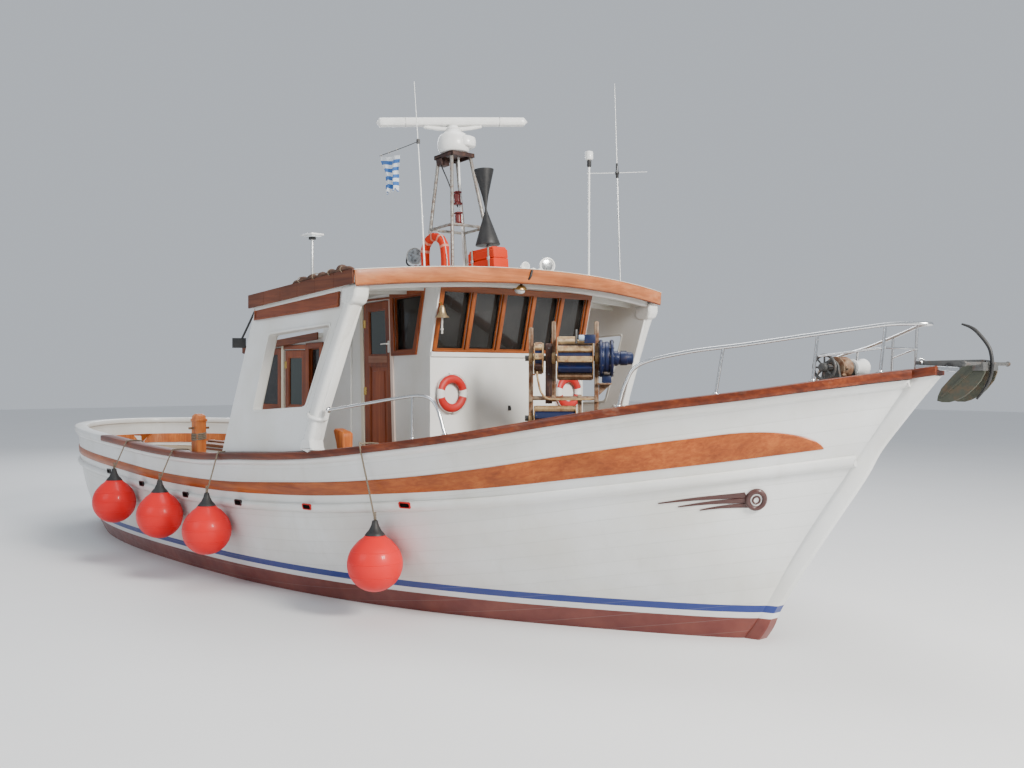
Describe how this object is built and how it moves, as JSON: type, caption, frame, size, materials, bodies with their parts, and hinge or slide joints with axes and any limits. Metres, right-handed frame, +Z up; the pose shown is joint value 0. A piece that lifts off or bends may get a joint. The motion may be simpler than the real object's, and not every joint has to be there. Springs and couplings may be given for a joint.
{
  "type": "wooden fishing trawler",
  "caption": "Decked wooden fishing boat afloat: wheelhouse under a full-beam canopy, aft house, net reel, windlass, hatches, radar mast, turning propeller and rudder.",
  "frame": {"origin": "at the waterline, on the centreline, amidships", "axes": "+X to the bow, +Y to port, +Z up"},
  "size_m": [15.1662, 5.2658, 7.7222],
  "materials": {
    "white_paint": "white enamel brushed on timber",
    "bottom_paint": "dull dark red antifouling",
    "varnish": "varnished hardwood",
    "cap_varnish": "worn varnished hardwood",
    "roof_varnish": "weathered varnish",
    "deck_wood": "scrubbed planks",
    "glass": "dark clear glass",
    "stainless": "polished tube",
    "weathered_steel": "cream paint with rust",
    "navy_paint": "navy gloss with wear",
    "bronze": "cast bronze",
    "galvanized": "dark galvanized, salt stained",
    "scanner_shell": "white shell",
    "safety_orange": "faded orange",
    "fender_red": "red vinyl, black cone",
    "black_shape": "black sheet",
    "flag_cloth": "blue and white striped cloth",
    "grey_metal": "grey metal",
    "lifebuoy": "red and white quarters"
  },
  "bodies": {
    "boat": {"hull": "white_paint", "bulwark_starboard": "white_paint", "bulwark_port": "white_paint", "cap_rail_starboard": "cap_varnish", "cap_rail_port": "cap_varnish", "deck": "deck_wood", "rub_strake_starboard": "white_paint", "rub_strake_port": "white_paint", "varnished_strake_starboard": "varnish", "varnished_strake_port": "varnish", "backbone": "white_paint", "wheelhouse_front": "white_paint", "wheelhouse_side_starboard": "white_paint", "wheelhouse_side_port": "white_paint", "wheelhouse_aft": "white_paint", "wheelhouse_glass": "glass", "side_glass_starboard": "glass", "side_glass_port": "glass", "canopy_roof": "roof_varnish", "side_screen_starboard": "white_paint", "side_screen_port": "white_paint", "helm_console": "varnish", "aft_house": "varnish", "aft_house_roof": "white_paint", "mast": "stainless", "flag_staff": "white_paint", "flag": "flag_cloth", "day_mark": "black_shape", "horseshoe_buoy": "safety_orange", "raft_box": "safety_orange", "searchlight": "grey_metal", "pole_lamp": "grey_metal", "pole_can": "white_paint", "pole_arms": "white_paint", "reel_frame": "weathered_steel", "reel_motor": "navy_paint", "windlass_frame": "galvanized", "bow_rail": "stainless", "handrail": "stainless", "anchor_shank": "galvanized", "fender_1": "fender_red", "fender_2": "fender_red", "fender_3": "fender_red", "fender_4": "fender_red", "lifebuoy_starboard": "lifebuoy", "lifebuoy_port": "lifebuoy"},
    "propeller": {"propeller": "bronze"},
    "rudder": {"rudder": "bottom_paint"},
    "helm_wheel": {"helm_wheel": "varnish"},
    "radar_scanner": {"radar_scanner": "scanner_shell"},
    "reel_drum": {"reel_drum": "navy_paint"},
    "reel_low_drum": {"reel_low_drum": "navy_paint"},
    "windlass_drum": {"windlass_drum": "white_paint"},
    "door_starboard": {"door_starboard": "varnish"},
    "door_port": {"door_port": "varnish"},
    "aft_door_starboard": {"aft_door_starboard": "varnish"},
    "aft_door_port": {"aft_door_port": "varnish"},
    "hold_lid": {"hold_lid": "varnish"},
    "fore_lid": {"fore_lid": "varnish"},
    "anchor_flukes": {"anchor_flukes": "galvanized"}
  },
  "joints": [
    {"name": "propeller_spin", "type": "hinge", "parent": "boat", "child": "propeller", "pos_m": [-5.56, 0, -1.23], "axis": [1, 0, 0], "continuous": true},
    {"name": "rudder_turn", "type": "hinge", "parent": "boat", "child": "rudder", "pos_m": [-6.15, 0, -1], "axis": [0, 0, 1], "range_deg": [-35, 35]},
    {"name": "helm_turn", "type": "hinge", "parent": "boat", "child": "helm_wheel", "pos_m": [1.985, 0, 2.08], "axis": [1, 0, 0], "range_deg": [-540, 540]},
    {"name": "radar_spin", "type": "hinge", "parent": "boat", "child": "radar_scanner", "pos_m": [1.59, 0, 3.394], "axis": [-0.0817, 0, 0.9967], "continuous": true},
    {"name": "reel_spin", "type": "hinge", "parent": "boat", "child": "reel_drum", "pos_m": [3.66, -0.369, 2.535], "axis": [0.7153, 0.6989, 0], "continuous": true},
    {"name": "reel_low_spin", "type": "hinge", "parent": "boat", "child": "reel_low_drum", "pos_m": [3.66, -0.369, 1.925], "axis": [0.7153, 0.6989, 0], "continuous": true},
    {"name": "windlass_spin", "type": "hinge", "parent": "boat", "child": "windlass_drum", "pos_m": [6.6, 0, 2.44], "axis": [0, 1, 0], "continuous": true},
    {"name": "door_starboard_swing", "type": "hinge", "parent": "boat", "child": "door_starboard", "pos_m": [1.308, -1.156, 1.196], "axis": [-0.0256, 0, 0.9997], "range_deg": [-110, 0]},
    {"name": "door_port_swing", "type": "hinge", "parent": "boat", "child": "door_port", "pos_m": [1.308, 1.156, 1.196], "axis": [-0.0256, 0, 0.9997], "range_deg": [0, 110]},
    {"name": "aft_door_starboard_swing", "type": "hinge", "parent": "boat", "child": "aft_door_starboard", "pos_m": [-0.414, -1.156, 1.126], "axis": [0, 0, 1], "range_deg": [-110, 0]},
    {"name": "aft_door_port_swing", "type": "hinge", "parent": "boat", "child": "aft_door_port", "pos_m": [-0.414, 1.156, 1.126], "axis": [0, 0, 1], "range_deg": [0, 110]},
    {"name": "hold_lid_swing", "type": "hinge", "parent": "boat", "child": "hold_lid", "pos_m": [-3.35, 0.65, 1.2904], "axis": [1, 0, 0], "range_deg": [-100, 0]},
    {"name": "fore_lid_swing", "type": "hinge", "parent": "boat", "child": "fore_lid", "pos_m": [5.325, 0, 1.8004], "axis": [0, 1, 0], "range_deg": [0, 100]},
    {"name": "anchor_flukes_swing", "type": "hinge", "parent": "boat", "child": "anchor_flukes", "pos_m": [7.85, 0, 2.466], "axis": [0, 1, 0], "range_deg": [-30, 30]}
  ]
}
